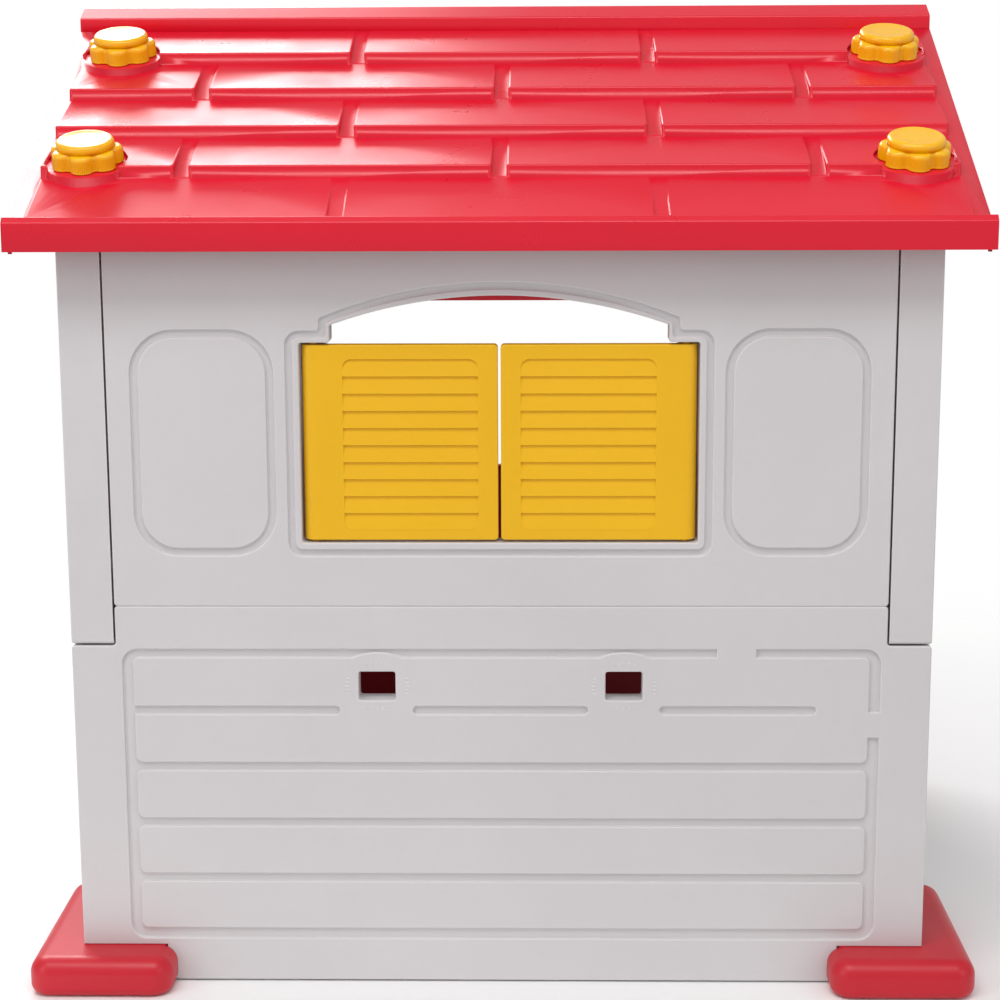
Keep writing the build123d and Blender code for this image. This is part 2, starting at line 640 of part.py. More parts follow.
def tile(row, x0, x1):
    """One lapped tile: a wedge that meets the sheet at its top and stands proud at its lip."""
    y0, y1 = ROW_Y[row], ROW_Y[row + 1]
    solid = bar([
        (-y1, base_z(y1) - 3), (-y1, tile_z(row, y1)), (-y0, base_z(y0)), (-y0, base_z(y0) - 3),
    ], x0, x1)
    lip = solid.edges().filter_by_position(Axis.Y, -y1 - 0.1, -y1 + 0.1)
    solid = fillet(lip.filter_by(Axis.Z), 4)
    top = [
        e for e in solid.edges()
        if e.center().Z > tile_z(row, abs(e.center().Y)) - 0.6 and abs(e.center().Y) > y0 + 1
    ]
    return fillet(top, min(2.5, TILE_LIP[row] / 2))


def tile_pocket(row, x0, x1):
    """The hollow under a tile, which keeps the moulding one thickness."""
    y0, y1 = ROW_Y[row] + 6, ROW_Y[row + 1] - TILE_SHELL
    return bar([
        (-y1, base_z(y1) - SHEET - 1), (-y1, tile_z(row, y1) - TILE_SHELL - 1),
        (-y0, min(tile_z(row, y0) - TILE_SHELL - 1, base_z(y0) - SHEET + 0.5)),
        (-y0, base_z(y0) - SHEET - 1),
    ], x0 + TILE_SHELL, x1 - TILE_SHELL)


def eave():
    """The rounded fascia along the foot of the roof, open underneath."""
    nose = EAVE_Y
    back = nose - EAVE_BEAD
    outer = bar([
        (-nose, EAVE_BOTTOM_Z), (-nose, EAVE_NOSE_Z), (-back, EAVE_BEAD_Z), (-back + 3, base_z(back - 3)),
        (-nose + 13, base_z(nose - 13) - 1), (-nose + 13, EAVE_BOTTOM_Z),
    ], -ROOF_LENGTH / 2, ROOF_LENGTH / 2)
    rounded = [
        e for e in outer.edges().filter_by(Axis.X)
        if abs(e.center().Z - EAVE_NOSE_Z) < 0.1 or abs(e.center().Z - EAVE_BEAD_Z) < 0.1
    ]
    outer = fillet(rounded, 2.8)
    inner = bar([
        (-nose + 4, EAVE_BOTTOM_Z - 1), (-nose + 4, EAVE_NOSE_Z - 4),
        (-nose + 14, EAVE_NOSE_Z - 4), (-nose + 14, EAVE_BOTTOM_Z - 1),
    ], -ROOF_LENGTH / 2 + 4, ROOF_LENGTH / 2 - 4)
    return outer - inner


def roof_panel():
    """The front half of the roof: sheet, eave, barge edges, inner lip, tiles and knob pads."""
    top, foot = 0.5, EAVE_Y - 10
    roof = bar([
        (-top, base_z(top)), (-foot, base_z(foot)), (-foot, base_z(foot) - SHEET),
        (-top, base_z(top) - SHEET),
    ], -SHEET_HALF, SHEET_HALF)
    roof += eave()
    for side in (-1, 1):
        x0, x1 = sorted((side * SHEET_HALF, side * (SHEET_HALF - 4)))
        roof += bar([
            (-top, base_z(top)), (-foot, base_z(foot)), (-foot, base_z(foot) - BARGE_DEPTH),
            (-top, base_z(top) - BARGE_DEPTH),
        ], x0, x1)
    lip_half = POST_INNER - 2 * SEAM
    roof += bar([
        (-LIP_Y[0], LIP_BOTTOM_Z), (-LIP_Y[0], base_z(LIP_Y[0]) - 2),
        (-LIP_Y[1], base_z(LIP_Y[1]) - 2), (-LIP_Y[1], LIP_BOTTOM_Z),
    ], -lip_half, lip_half)
    tiles = [(row, x0, x1) for row in range(len(TILE_LIP)) for x0, x1 in tile_spans(row)]
    for row, x0, x1 in tiles:
        roof += tile(row, x0, x1)
    for row, x0, x1 in tiles:
        roof -= tile_pocket(row, x0, x1)
    sheet_space = bar([
        (0, APEX_Z + 80), (-EAVE_Y, base_z(EAVE_Y) + 80), (-EAVE_Y, base_z(EAVE_Y) - SHEET),
        (0, APEX_Z - SHEET),
    ], -SHEET_HALF, SHEET_HALF)
    for side in (-1, 1):
        for y in KNOB_Y:
            place = knob_place(side, -y)
            pad = place * Pos(0, 0, -40) * Cylinder(PAD_RADIUS, 80)
            roof += pad & sheet_space
            roof -= place * Pos(0, 0, 10) * Cylinder(PAD_RADIUS - 2, 20)
            roof -= place * Cylinder(SHANK_RADIUS + 0.5, 80)
    return roof


def ridge_cap():
    """A low inverted V that clips over the meeting edges of the two roof panels."""
    edge, inner = CAP_HALF, CAP_HALF - CAP_SHELL
    gap = 0.3
    outline = [
        (-edge, base_z(edge) + gap), (-edge, CAP_EDGE_Z), (0, CAP_PEAK_Z), (edge, CAP_EDGE_Z),
        (edge, base_z(edge) + gap), (0, APEX_Z + gap),
    ]
    cap = bar(outline, -SHEET_HALF, SHEET_HALF)
    ridge = cap.edges().filter_by(Axis.X).sort_by(Axis.Z)[-1]
    shoulders = cap.edges().filter_by(Axis.X).filter_by_position(
        Axis.Z, CAP_EDGE_Z - 0.1, CAP_EDGE_Z + 0.1
    )
    cap = fillet(shoulders, 3)
    ridge = cap.edges().filter_by(Axis.X).sort_by(Axis.Z)[-1]
    cap = fillet(ridge, 8)
    hollow = bar([
        (-inner, base_z(edge) - 5), (-inner, CAP_EDGE_Z - 2), (0, CAP_PEAK_Z - CAP_SHELL - 1),
        (inner, CAP_EDGE_Z - 2), (inner, base_z(edge) - 5),
    ], -SHEET_HALF + CAP_SHELL, SHEET_HALF - CAP_SHELL)
    return cap - hollow


def roof_knob(side, y):
    """A lobed hand knob: crown disc, scalloped skirt and a long shank."""
    skirt = Circle(KNOB_CORE)
    for i in range(KNOB_LOBES):
        turn = Rot(0, 0, 360 / KNOB_LOBES * (i + 0.25))
        skirt += turn * Pos(LOBE_CENTRE, 0) * Circle(LOBE_RADIUS)
    body = slab(skirt, 0.3, LOBE_HEIGHT)
    body = fillet(body.edges().group_by(Axis.Z)[-1], 4)
    crown = slab(Circle(KNOB_DISC), 5, KNOB_HEIGHT)
    body += fillet(crown.edges().group_by(Axis.Z)[-1], 4)
    body += slab(Circle(SHANK_RADIUS), -SHANK_LENGTH, 5)
    return knob_place(side, y) * body


# ---- Feet and screws -------------------------------------------------------------------------

def foot():
    """The front left foot: an L round the corner, partly under the walls."""
    wall_x, wall_y = HALF_WIDTH + 1, HALF_DEPTH + 1
    plan = rectangle(-FOOT_OUT_X, -FOOT_FRONT_END_X, -FOOT_OUT_Y, -wall_y)
    plan += rectangle(-FOOT_OUT_X, -wall_x, -FOOT_OUT_Y, -FOOT_SIDE_END_Y)
    corners = [v for v in plan.vertices() if v.X < -wall_x - 5 or v.Y < -wall_y - 5]
    plan = fillet(corners, FOOT_CORNER_RADIUS - 1)
    body = slab(plan, 0, FOOT_HEIGHT)
    outer = [
        e for e in body.edges().group_by(Axis.Z)[-1]
        if abs(e.center().X + wall_x) > 1 and abs(e.center().Y + wall_y) > 1
    ]
    body = fillet(outer, FOOT_TOP_RADIUS)
    outer = [
        e for e in body.edges().group_by(Axis.Z)[0]
        if abs(e.center().X + wall_x) > 1 and abs(e.center().Y + wall_y) > 1
    ]
    body = fillet(outer, FOOT_BOTTOM_RADIUS)
    under = rectangle(-wall_x, -FOOT_NOTCH_X - SEAM, -wall_y, -HALF_DEPTH + FRONT_PANEL + 2)
    under += rectangle(-wall_x, -POST_INNER + 2, -wall_y, -FOOT_NOTCH_Y - SEAM)
    body += slab(under, 0, FOOT_HEIGHT)
    for x, y in foot_screw_places():
        body -= Pos(x, y, FOOT_SCREW_HEAD_Z / 2) * Cylinder(SCREW_HEAD_RADIUS + 1, FOOT_SCREW_HEAD_Z)
        body -= Pos(x, y, FOOT_HEIGHT / 2) * Cylinder(PILOT_RADIUS, FOOT_HEIGHT + 2)
    return body


def foot_screw_places():
    """Screw axes of the front left foot, one under each wall."""
    return ((-400, -HALF_DEPTH + FRONT_PANEL / 2), (-HALF_WIDTH + SIDE_PANEL / 2, -300))


def screw(length):
    """A pan-head screw, its head under the origin and its shank along +Z."""
    body = Pos(0, 0, length / 2) * Cylinder(SCREW_RADIUS, length)
    head = Pos(0, 0, -SCREW_HEAD / 2) * Cylinder(SCREW_HEAD_RADIUS, SCREW_HEAD)
    return body + fillet(head.edges().group_by(Axis.Z)[0], 1)


def four_corners(shapes):
    """Copies of front left shapes at all four corners."""
    left = list(shapes) + [mirror(s, about=Plane.XZ) for s in shapes]
    return left + [mirror(s, about=Plane.YZ) for s in left]


def corner_screws():
    """Through the side panels' end flanges into the front and rear lower panels."""
    start = -HALF_DEPTH + FRONT_PANEL + FLANGE
    return four_corners([
        Pos(-HALF_WIDTH + SIDE_PANEL / 2, start, z) * Rot(90, 0, 0) * screw(SCREW_LENGTH)
        for z in CORNER_SCREW_Z
    ])


def gable_screws():
    """Through the upper panels' end flanges into the gable posts."""
    start = -POST_INNER + SEAM + FLANGE
    return four_corners([
        Pos(start, -HALF_DEPTH + FRONT_PANEL / 2, z) * Rot(0, -90, 0) * screw(SCREW_LENGTH)
        for z in GABLE_SCREW_Z
    ])


def foot_screws():
    """Up through the feet into the wall panels' bottom flanges."""
    return four_corners([
        Pos(x, y, FOOT_SCREW_HEAD_Z) * screw(2 * SCREW_LENGTH) for x, y in foot_screw_places()
    ])


# ---- The whole house ---------------------------------------------------------------------------

def build():
    """Every sub-part by name."""
    nodes = {
        "front_lower_wall": front_lower_wall(),
        "front_upper_wall": front_upper_wall(),
        "rear_lower_wall": rear_lower_wall(),
        "rear_upper_wall": rear_upper_wall(),
        "left_lower_wall": side_lower_wall(LEFT),
        "right_lower_wall": side_lower_wall(RIGHT),
        "left_gable_wall": gable_wall(-1, LEFT),
        "right_gable_wall": gable_wall(1, RIGHT),
        "shutter_left": shutter(-1),
        "shutter_right": shutter(1),
        "half_door": half_door(),
        "roof_front_panel": roof_panel(),
        "ridge_cap": ridge_cap(),
        "foot_front_left": foot(),
        "corner_screws": Compound(corner_screws()),
        "gable_screws": Compound(gable_screws()),
        "foot_screws": Compound(foot_screws()),
    }
    nodes["roof_rear_panel"] = mirror(nodes["roof_front_panel"], about=Plane.XZ)
    nodes["foot_front_right"] = mirror(nodes["foot_front_left"], about=Plane.YZ)
    nodes["foot_rear_left"] = mirror(nodes["foot_front_left"], about=Plane.XZ)
    nodes["foot_rear_right"] = mirror(nodes["foot_front_right"], about=Plane.XZ)
    rows = (("front_lower", -KNOB_Y[1]), ("front_upper", -KNOB_Y[0]),
            ("rear_upper", KNOB_Y[0]), ("rear_lower", KNOB_Y[1]))
    for side, hand in ((-1, "left"), (1, "right")):
        for name, y in rows:
            nodes[f"roof_knob_{name}_{hand}"] = roof_knob(side, y)
    return nodes


os.makedirs("parts", exist_ok=True)
for name, shape in build().items():
    export_step(shape, f"parts/{name}.step")
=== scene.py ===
import json
import math

import bmesh
import bpy
from mathutils import Matrix, Vector


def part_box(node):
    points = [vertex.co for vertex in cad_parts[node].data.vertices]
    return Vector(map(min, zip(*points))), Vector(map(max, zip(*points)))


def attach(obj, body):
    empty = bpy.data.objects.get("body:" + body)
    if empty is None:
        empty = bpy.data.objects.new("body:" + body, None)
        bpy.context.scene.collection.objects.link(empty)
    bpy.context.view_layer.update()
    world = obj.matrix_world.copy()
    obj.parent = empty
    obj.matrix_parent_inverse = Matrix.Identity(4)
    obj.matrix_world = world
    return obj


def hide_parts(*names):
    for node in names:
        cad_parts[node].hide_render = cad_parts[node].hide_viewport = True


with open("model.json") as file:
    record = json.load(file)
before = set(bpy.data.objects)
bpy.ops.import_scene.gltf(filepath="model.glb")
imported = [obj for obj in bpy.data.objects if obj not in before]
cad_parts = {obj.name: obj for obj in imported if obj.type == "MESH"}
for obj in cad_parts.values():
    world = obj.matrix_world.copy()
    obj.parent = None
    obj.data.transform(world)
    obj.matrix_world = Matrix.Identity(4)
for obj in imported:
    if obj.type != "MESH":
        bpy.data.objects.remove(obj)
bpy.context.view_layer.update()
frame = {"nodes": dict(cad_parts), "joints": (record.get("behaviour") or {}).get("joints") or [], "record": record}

nodes = frame["nodes"]
MM = 0.001

# ---- Camera and light ----------------------------------------------------------------------
# The eye stands a little right of the middle, level with the upper roof, looking slightly down.

EYE = (0.043, -2.657, 0.975)
YAW, PITCH, ROLL = 1.08, 10.73, 0.23     # degrees: to the left, downwards, and about the view
LENS, SENSOR = 77.54, 36.0
NEAR_CLIP = 0.05
MIDDLE = (0, 0, 0.5)                     # the middle of the house
FILL_STRENGTH, FILL_COLOUR = 0.5, (1, 0.985, 0.985, 1)

# Name, place, the point it faces, width, height, and power in watts.
SOFTBOXES = (
    ("overhead", (-0.3, -2.2, 3.6), (0, -0.3, 0.5), 3.0, 1.2, 62),
    ("left_front", (-2.8, -2.6, 1.6), MIDDLE, 1.4, 2.2, 22),
    ("right_front", (2.8, -2.6, 1.6), MIDDLE, 1.4, 2.2, 13),
    ("roof_sheen", (-1.7, 3.0, 3.3), (0, 0, 0.95), 2.8, 1.5, 120),
)


def make_camera():
    data = bpy.data.cameras.new("camera")
    data.lens = LENS
    data.sensor_width = SENSOR
    data.clip_start = NEAR_CLIP
    camera = bpy.data.objects.new("camera", data)
    bpy.context.scene.collection.objects.link(camera)
    turn = Matrix.Rotation(math.radians(YAW), 4, "Z")
    tilt = Matrix.Rotation(math.radians(90 - PITCH), 4, "X")
    roll = Matrix.Rotation(math.radians(-ROLL), 4, "Z")
    camera.matrix_world = Matrix.Translation(EYE) @ turn @ tilt @ roll
    bpy.context.scene.camera = camera


def softbox(name, place, target, width, height, power):
    """A rectangular studio light, aimed at a point."""
    data = bpy.data.lights.new(name, "AREA")
    data.shape = "RECTANGLE"
    data.size = width
    data.size_y = height
    data.energy = power
    light = bpy.data.objects.new(name, data)
    bpy.context.scene.collection.objects.link(light)
    aim = Vector(target) - Vector(place)
    light.matrix_world = Matrix.Translation(place) @ aim.to_track_quat("-Z", "Y").to_matrix().to_4x4()


def make_world():
    """White where the camera sees it, and a dimmer soft surround for everything else."""
    world = bpy.data.worlds.new("studio")
    world.use_nodes = True
    tree = world.node_tree
    tree.nodes.clear()
    path = tree.nodes.new("ShaderNodeLightPath")
    seen = tree.nodes.new("ShaderNodeBackground")
    seen.inputs["Strength"].default_value = 1.0
    seen.inputs["Color"].default_value = (1, 1, 1, 1)
    fill = tree.nodes.new("ShaderNodeBackground")
    fill.inputs["Strength"].default_value = FILL_STRENGTH
    fill.inputs["Color"].default_value = FILL_COLOUR
    mix = tree.nodes.new("ShaderNodeMixShader")
    out = tree.nodes.new("ShaderNodeOutputWorld")
    tree.links.new(path.outputs["Is Camera Ray"], mix.inputs["Fac"])
    tree.links.new(fill.outputs[0], mix.inputs[1])
    tree.links.new(seen.outputs[0], mix.inputs[2])
    tree.links.new(mix.outputs[0], out.inputs["Surface"])
    bpy.context.scene.world = world


def make_studio():
    bpy.context.scene.view_settings.view_transform = "Standard"
    make_world()
    for light in SOFTBOXES:
        softbox(*light)


# ---- Materials -----------------------------------------------------------------------------

EDGE_RADIUS = 2.2 * MM                   # how far from an edge its painted highlight reaches
EDGE_STARTS, EDGE_FULL = 0.995, 0.9      # cosine of the turn where the painted edge highlight begins, and where it is full
BROAD_SCALE, WAVE_SCALE, SMUDGE_SCALE, FINE_SCALE, PORE_SCALE = 3.2, 9.0, 14.0, 95.0, 1100.0
SPECKLE = 0.12                           # the most that the fine speckle darkens the colour
WAVE_HEIGHT = 0.00025
COAT_ROUGHNESS = 0.12
GLOW_RADIUS, GLOW_DEPTH = (1.0, 0.5, 0.1), 4 * MM
TARNISH_SCALE, STEEL_GRAIN_SCALE, STEEL_GRAIN = 160.0, 2400.0, 0.00003


class Graph:
    """A short way to write a node tree: every call adds a node and links its inputs."""

    def __init__(self, tree):
        self.tree = tree

    def add(self, kind, settings=(), **inputs):
        node = self.tree.nodes.new(kind)
        for name, value in dict(settings).items():
            setattr(node, name, value)
        for name, value in inputs.items():
            socket = node.inputs[name.replace("_", " ")]
            if isinstance(value, bpy.types.NodeSocket):
                self.tree.links.new(value, socket)
            else:
                socket.default_value = value
        return node

    def noise(self, place, scale, detail=3.0, rough=0.55):
        node = self.add("ShaderNodeTexNoise", Vector=place, Scale=scale, Detail=detail, Roughness=rough)
        return node.outputs["Fac"]

    def remap(self, value, low, high, to_low, to_high):
        node = self.add("ShaderNodeMapRange", Value=value)
        ends = {"From Min": low, "From Max": high, "To Min": to_low, "To Max": to_high}
        for name, number in ends.items():
            node.inputs[name].default_value = number
        return node.outputs["Result"]

    def mix(self, amount, first, second):
        node = self.add("ShaderNodeMix", {"data_type": "RGBA"})
        for i, value in ((0, amount), (6, first), (7, second)):     # factor, A and B of a colour mix
            socket = node.inputs[i]
            if isinstance(value, bpy.types.NodeSocket):
                self.tree.links.new(value, socket)
            else:
                socket.default_value = value
        return node.outputs[2]

    def edges(self, radius):
        """1 along sharp edges and 0 on flat faces."""
        soft = self.add("ShaderNodeBevel", {"samples": 4}, Radius=radius).outputs["Normal"]
        flat = self.add("ShaderNodeNewGeometry").outputs["Normal"]
        dot = self.add("ShaderNodeVectorMath", {"operation": "DOT_PRODUCT"})
        self.tree.links.new(soft, dot.inputs[0])
        self.tree.links.new(flat, dot.inputs[1])
        return self.remap(dot.outputs["Value"], EDGE_STARTS, EDGE_FULL, 0.0, 1.0)


def rgb(colour, gain=1.0):
    return tuple(min(1.0, c * gain) for c in colour) + (1.0,)


def moulded(name, colour, deep, rough, grain, edge_highlight, coat=0.0, glow=0.0):
    """Moulded plastic: mottled colour, fine grain, slow surface waves and edges painted paler as a highlight.

    colour and deep are the two ends of the mottling, rough is the (low, high) roughness range,
    grain is the height of the surface texture in metres, and edge_highlight is how much paler
    the edges are painted, a painted highlight. coat is a clear gloss on top, and glow is light that spreads below
    the surface."""
    material = bpy.data.materials.new(name)
    material.use_nodes = True
    tree = material.node_tree
    shader = tree.nodes["Principled BSDF"]
    graph = Graph(tree)
    place = graph.add("ShaderNodeTexCoord").outputs["Object"]
    broad = graph.noise(place, BROAD_SCALE)
    fine = graph.noise(place, FINE_SCALE, 4.0)
    pores = graph.noise(place, PORE_SCALE, 2.0)
    waves = graph.noise(place, WAVE_SCALE, 1.0)
    edge = graph.edges(EDGE_RADIUS)
    mottled = graph.mix(graph.remap(broad, 0.32, 0.68, 0.0, 1.0), rgb(colour), rgb(deep))
    speckled = graph.mix(graph.remap(fine, 0.5, 0.85, 0.0, SPECKLE), mottled, rgb(deep, 0.9))
    # Paler colour along the edges is a painted highlight, standing in for light caught by rounded edges.
    edge_lit = graph.mix(graph.remap(edge, 0.0, 1.0, 0.0, edge_highlight), speckled, rgb(colour, 1.5))
    tree.links.new(edge_lit, shader.inputs["Base Color"])
    smudges = graph.noise(place, SMUDGE_SCALE, 5.0)
    gloss = graph.remap(smudges, 0.3, 0.7, rough[0], rough[1])
    tree.links.new(gloss, shader.inputs["Roughness"])
    bump = graph.add("ShaderNodeBump", Height=pores, Distance=grain)
    bump.inputs["Strength"].default_value = 1.0
    swell = graph.add("ShaderNodeBump", Height=waves, Distance=WAVE_HEIGHT, Normal=bump.outputs["Normal"])
    tree.links.new(swell.outputs["Normal"], shader.inputs["Normal"])
    shader.inputs["Coat Weight"].default_value = coat
    shader.inputs["Coat Roughness"].default_value = COAT_ROUGHNESS
    shader.inputs["Subsurface Weight"].default_value = glow
    shader.inputs["Subsurface Radius"].default_value = GLOW_RADIUS
    shader.inputs["Subsurface Scale"].default_value = GLOW_DEPTH
    return material


def steel(name):
    """Zinc-plated steel, unevenly tarnished, with a fine grain."""
    material = bpy.data.materials.new(name)
    material.use_nodes = True
    tree = material.node_tree
    shader = tree.nodes["Principled BSDF"]
    graph = Graph(tree)
    place = graph.add("ShaderNodeTexCoord").outputs["Object"]
    tarnish = graph.noise(place, TARNISH_SCALE, 5.0)
    tint = graph.mix(tarnish, (0.5, 0.5, 0.49, 1), (0.74, 0.74, 0.73, 1))
    tree.links.new(tint, shader.inputs["Base Color"])
    tree.links.new(graph.remap(tarnish, 0.3, 0.7, 0.25, 0.5), shader.inputs["Roughness"])
    grain = graph.noise(place, STEEL_GRAIN_SCALE, 2.0)
    bump = graph.add("ShaderNodeBump", Height=grain, Distance=STEEL_GRAIN)
    tree.links.new(bump.outputs["Normal"], shader.inputs["Normal"])
    shader.inputs["Metallic"].default_value = 1.0
    return material


# Slot: colour, deeper colour, roughness range, grain height, painted edge highlight, and any coat and glow.
PLASTICS = {
    "white_wall": ((0.66, 0.635, 0.645), (0.63, 0.605, 0.615), (0.36, 0.50), 0.00003, 0.35),
    "red_roof": ((0.74, 0.006, 0.028), (0.70, 0.005, 0.024), (0.26, 0.36), 0.00001, 0.20),
    "red_foot": ((0.60, 0.006, 0.022), (0.54, 0.005, 0.018), (0.34, 0.46), 0.00002, 0.20),
    "red_door": ((0.52, 0.012, 0.030), (0.47, 0.010, 0.026), (0.32, 0.44), 0.00003, 0.25),
    "yellow_shutter": ((0.90, 0.50, 0.002), (0.86, 0.47, 0.002), (0.34, 0.46), 0.00002, 0.25),
    "yellow_knob": ((0.97, 0.52, 0.001), (0.95, 0.48, 0.001), (0.20, 0.30), 0.00001, 0.20, 0.1, 0.3),
}


def make_materials():
    materials = {slot: moulded(slot, *values) for slot, values in PLASTICS.items()}
    materials["steel_screw"] = steel("steel_screw")
    return materials


WELD_DISTANCE = 0.02 * MM
SOFT_EDGE = 0.7 * MM
SOFT_EDGE_ANGLE = 38


def finish_cad_nodes(materials):
    """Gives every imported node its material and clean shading, and all but the roof softened edges."""
    for part in frame["record"]["subparts"]:
        node = nodes[part["node"]]
        node.data.materials.clear()
        node.data.materials.append(materials[part["material_slot"]])
        node.data.shade_smooth()
        weld = node.modifiers.new("weld", "WELD")
        weld.merge_threshold = WELD_DISTANCE
        if part["material_slot"] != "red_roof":     # the tiles are rounded in the solid
            bevel = node.modifiers.new("soft_edges", "BEVEL")
            bevel.width = SOFT_EDGE
            bevel.segments = 2
            bevel.limit_method = "ANGLE"
            bevel.angle_limit = math.radians(SOFT_EDGE_ANGLE)
            bevel.use_clamp_overlap = True
        shading = node.modifiers.new("shading", "WEIGHTED_NORMAL")
        shading.keep_sharp = True


# ---- Pieces modelled here ------------------------------------------------------------------

def new_piece(name, mesh, material, body):
    mesh.materials.append(material)
    mesh.shade_smooth()
    piece = bpy.data.objects.new(name, mesh)
    bpy.context.scene.collection.objects.link(piece)
    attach(piece, body)
    return piece


KNOB_LOBES = 7
LOBE_CENTRE, LOBE_RADIUS = 27.0, 13.0
KNOB_RIBS_PER_LOBE = 16
STEPS_PER_RIB = 4
KNOB_STEPS = KNOB_LOBES * KNOB_RIBS_PER_LOBE * STEPS_PER_RIB
KNOB_TURN = 0.25                         # how far round the first lobe stands, in lobes
RIB_HEIGHT = 0.3
SHANK_TIP, CROWN_TOP = -46.0, 27.5
THREAD_START, THREAD_TURNS, THREAD_PITCH = -44, 9, 4.0
THREAD_CREST, THREAD_ROOT = 9.9, 9.2
LOBE_ROUNDING, CROWN_ROUNDING = 4.6, 4.6
SKIRT_SHOULDER, CROWN_SHOULDER = 14.0, 23.2   # heights where the two roundings begin
SKIRT_INSET, CROWN_FLAT = 0.9, 26.4


def lobe_radius(angle):
    """Outline of the knob's skirt, in millimetres."""
    pitch = 2 * math.pi / KNOB_LOBES
    off = (angle - KNOB_TURN * pitch + pitch / 2) % pitch - pitch / 2
    side = LOBE_CENTRE * math.sin(off)
    return LOBE_CENTRE * math.cos(off) + math.sqrt(LOBE_RADIUS ** 2 - side ** 2)


def soft_lobe(angle):
    """The skirt's outline with its valleys rounded."""
    spread = [math.radians(d) for d in (-5, -2.5, 0, 2.5, 5)]
    return sum(lobe_radius(angle + s) for s in spread) / len(spread)


def knob_rings():
    """Rings up the knob, each (height, lobed share, inset or round radius, rib share)."""
    rings = [(-45.5, 0, 8.5, 0)]
    for i in range(THREAD_TURNS):
        z = THREAD_START + i * THREAD_PITCH
        rings += [(z, 0, THREAD_CREST, 0), (z + 1.6, 0, THREAD_CREST, 0),
                  (z + 2.4, 0, THREAD_ROOT, 0), (z + 3.4, 0, THREAD_ROOT, 0)]
    rings += [(0.4, 0, THREAD_CREST, 0), (0.4, 1, 2.2, 0), (0.7, 1, 0.9, 0)]
    rings += [(1.4, 1, 0.4, 0), (2.2, 1, 0.8, 0)]
    rings += [(3.2, 1, SKIRT_INSET, 1), (12.0, 1, SKIRT_INSET, 1)]
    for i in range(7):
        turn = math.pi / 2 * i / 6
        rings.append((SKIRT_SHOULDER + LOBE_ROUNDING * math.sin(turn), 1,
                      SKIRT_INSET + LOBE_ROUNDING * (1 - math.cos(turn)), 0))
    rings += [(19.0, 0.3, 32.0, 0), (19.8, 0, 31.6, 0), (23.0, 0, 31.0, 0)]
    for i in range(1, 8):
        turn = math.pi / 2 * i / 7
        rings.append((CROWN_SHOULDER + CROWN_ROUNDING * math.sin(turn), 0,
                      CROWN_FLAT + CROWN_ROUNDING * math.cos(turn), 0))
    rings += [(27.7, 0, 24.6, 0), (27.4, 0, 23.2, 0), (CROWN_TOP, 0, 12.0, 0)]
    return rings


def knob_mesh():
    shape = bmesh.new()
    rows = []
    angles = [2 * math.pi * i / KNOB_STEPS for i in range(KNOB_STEPS)]
    outline = [soft_lobe(a) for a in angles]
    for height, lobed, size, ribs in knob_rings():
        row = []
        for i, angle in enumerate(angles):
            wide = outline[i] - size
            radius = {0: size, 1: wide}.get(lobed, lobed * wide + (1 - lobed) * size)
            radius += ribs * RIB_HEIGHT * math.cos(2 * math.pi * i / STEPS_PER_RIB)
            row.append(shape.verts.new((
                radius * math.cos(angle) * MM, radius * math.sin(angle) * MM, height * MM)))
        rows.append(row)
    for low, high in zip(rows, rows[1:]):
        for i in range(KNOB_STEPS):
            j = (i + 1) % KNOB_STEPS
            shape.faces.new((low[i], low[j], high[j], high[i]))
    for row, height in ((rows[0], SHANK_TIP), (rows[-1], CROWN_TOP)):
        centre = shape.verts.new((0, 0, height * MM))
        for i in range(KNOB_STEPS):
            shape.faces.new((row[i], row[(i + 1) % KNOB_STEPS], centre))
    bmesh.ops.recalc_face_normals(shape, faces=shape.faces)
    mesh = bpy.data.meshes.new("knob")
    shape.to_mesh(mesh)
    shape.free()
    return mesh


def make_knobs(materials):
    """Ribbed knobs on the axes of the joints that turn them."""
    for joint in frame["joints"]:
        if not joint["name"].startswith("roof_knob"):
            continue
        body = joint["child"]
        axis = Vector(joint["axis"]).normalized()
        across = Vector((1, 0, 0))
        place = Matrix((across, axis.cross(across), axis)).transposed().to_4x4()
        mesh = knob_mesh()
        mesh.transform(Matrix.Translation(joint["pos_m"]) @ place)
        piece = new_piece(body + "_ribbed", mesh, materials["yellow_knob"], body)
        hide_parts(body)


TICK_LENGTH, TICK_WIDTH, TICK_HEIGHT = 5.0, 1.7, 0.8
TICK_ROW_STEP, TICK_COLUMN_STEP = 5.6, 4.2
TICK_ROWS_AWAY, TICK_COLUMNS_AWAY = 25.5, 33.5
TICK_RINGS, TICK_SIDES = 4, 16
TICK_SINK = 0.2                          # how far a tick's foot is sunk into the wall's face
OUTER_SHORTER, OUTER_NEARER = 0.8, 0.5   # per tick away from the middle one


def tick(shape, x, y, z, upright, length):
    """One small rounded ridge on the wall's face."""
    long_half, wide_half = length / 2 * MM, TICK_WIDTH / 2 * MM
    rows = []
    for r in range(TICK_RINGS):
        lift = math.sin(math.pi / 2 * r / (TICK_RINGS - 1))
        narrow = max(0.12, math.cos(math.pi / 2 * r / (TICK_RINGS - 1)))
        row = []
        for s in range(TICK_SIDES):
            turn = 2 * math.pi * s / TICK_SIDES
            along = math.cos(turn) * long_half * (0.6 + 0.4 * narrow)
            over = math.sin(turn) * wide_half * narrow
            dx, dz = (over, along) if upright else (along, over)
            row.append(shape.verts.new((x + dx, y - lift * TICK_HEIGHT * MM, z + dz)))
        rows.append(row)
    for low, high in zip(rows, rows[1:]):
        for s in range(TICK_SIDES):
            t = (s + 1) % TICK_SIDES
            shape.faces.new((low[s], low[t], high[t], high[s]))
    shape.faces.new(rows[0])
    shape.faces.new(rows[-1])


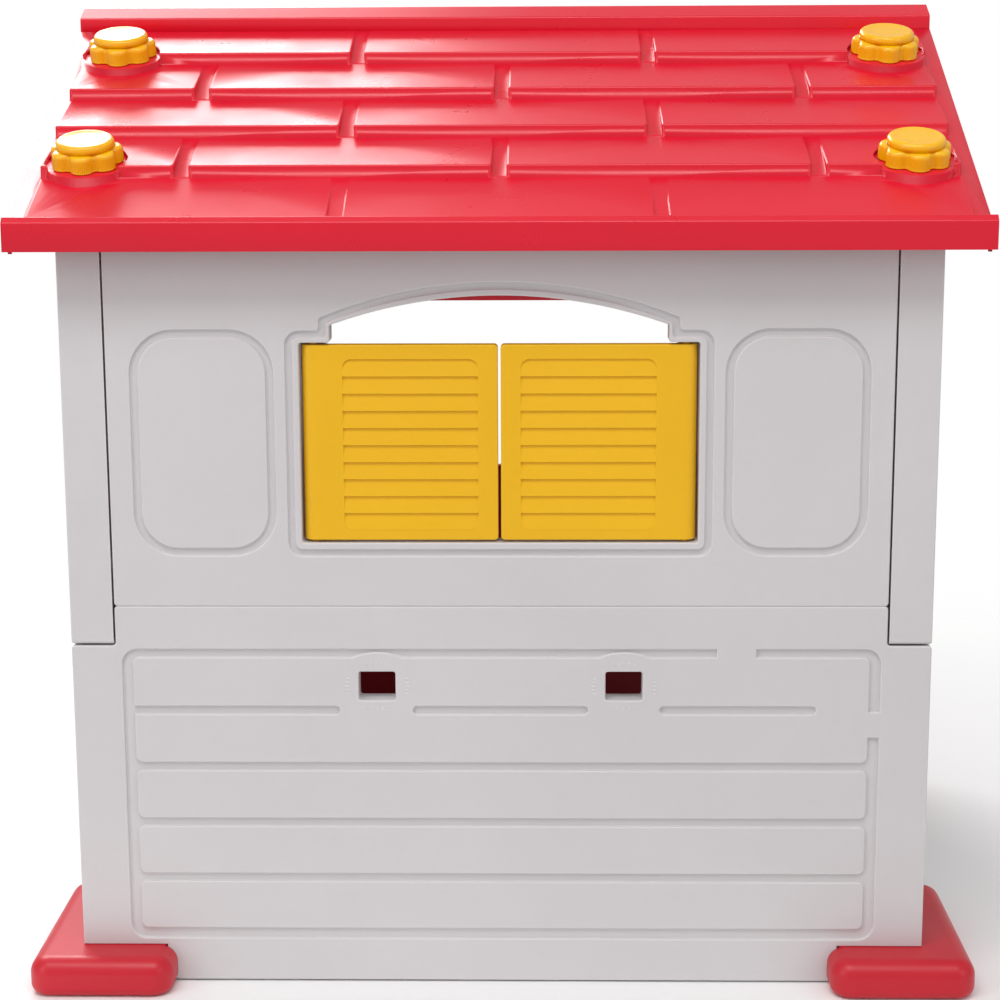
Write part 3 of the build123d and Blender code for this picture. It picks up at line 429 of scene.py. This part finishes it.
def make_ticks(materials):
    """Rows and columns of small ridges round the two square holes in the lower front panel."""
    face_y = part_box("front_lower_wall")[0][1] + TICK_SINK * MM
    shape = bmesh.new()
    for opening in frame["record"]["physics"]["openings"]:
        if "grip_hole" not in opening["name"]:
            continue
        low, high = opening["box_m"]
        x, z = (low[0] + high[0]) / 2, (low[2] + high[2]) / 2
        for i in range(-2, 3):
            length = TICK_LENGTH - OUTER_SHORTER * abs(i)
            for side in (-1, 1):
                row_z = z + side * (TICK_ROWS_AWAY - OUTER_NEARER * abs(i)) * MM
                tick(shape, x + i * TICK_ROW_STEP * MM, face_y, row_z, True, length)
                column_x = x + side * (TICK_COLUMNS_AWAY - OUTER_NEARER * abs(i)) * MM
                tick(shape, column_x, face_y, z + i * TICK_COLUMN_STEP * MM, False, length)
    bmesh.ops.recalc_face_normals(shape, faces=shape.faces)
    mesh = bpy.data.meshes.new("grip_ticks")
    shape.to_mesh(mesh)
    shape.free()
    new_piece("grip_ticks", mesh, materials["white_wall"], "house")


FLOOR_HALF = 12.0
FLOOR_CLEAR, FLOOR_FADED = 0.65, 1.9     # distances from the middle where the fade starts and ends
FLOOR_COLOUR = (0.93, 0.93, 0.93, 1)


def fade_floor(tree, shader):
    """Lets the floor fade out into the white surround with its distance from the house."""
    graph = Graph(tree)
    place = graph.add("ShaderNodeTexCoord").outputs["Object"]
    away = graph.add("ShaderNodeVectorMath", {"operation": "LENGTH"})
    tree.links.new(place, away.inputs[0])
    amount = graph.remap(away.outputs["Value"], FLOOR_CLEAR, FLOOR_FADED, 0.0, 1.0)
    clear = graph.add("ShaderNodeBsdfTransparent")
    mix = graph.add("ShaderNodeMixShader")
    tree.links.new(amount, mix.inputs[0])
    tree.links.new(shader.outputs[0], mix.inputs[1])
    tree.links.new(clear.outputs[0], mix.inputs[2])
    tree.links.new(mix.outputs[0], tree.nodes["Material Output"].inputs["Surface"])


def make_floor():
    """A plain pale floor that reaches well past the house."""
    shape = bmesh.new()
    bmesh.ops.create_grid(shape, x_segments=1, y_segments=1, size=FLOOR_HALF)
    mesh = bpy.data.meshes.new("floor")
    shape.to_mesh(mesh)
    shape.free()
    material = bpy.data.materials.new("floor")
    material.use_nodes = True
    shader = material.node_tree.nodes["Principled BSDF"]
    shader.inputs["Base Color"].default_value = FLOOR_COLOUR
    shader.inputs["Roughness"].default_value = 0.9
    shader.inputs["Specular IOR Level"].default_value = 0.1
    fade_floor(material.node_tree, shader)
    mesh.materials.append(material)
    floor = bpy.data.objects.new("floor", mesh)
    bpy.context.scene.collection.objects.link(floor)


make_camera()
make_studio()
make_floor()
finishes = make_materials()
finish_cad_nodes(finishes)
make_knobs(finishes)
make_ticks(finishes)
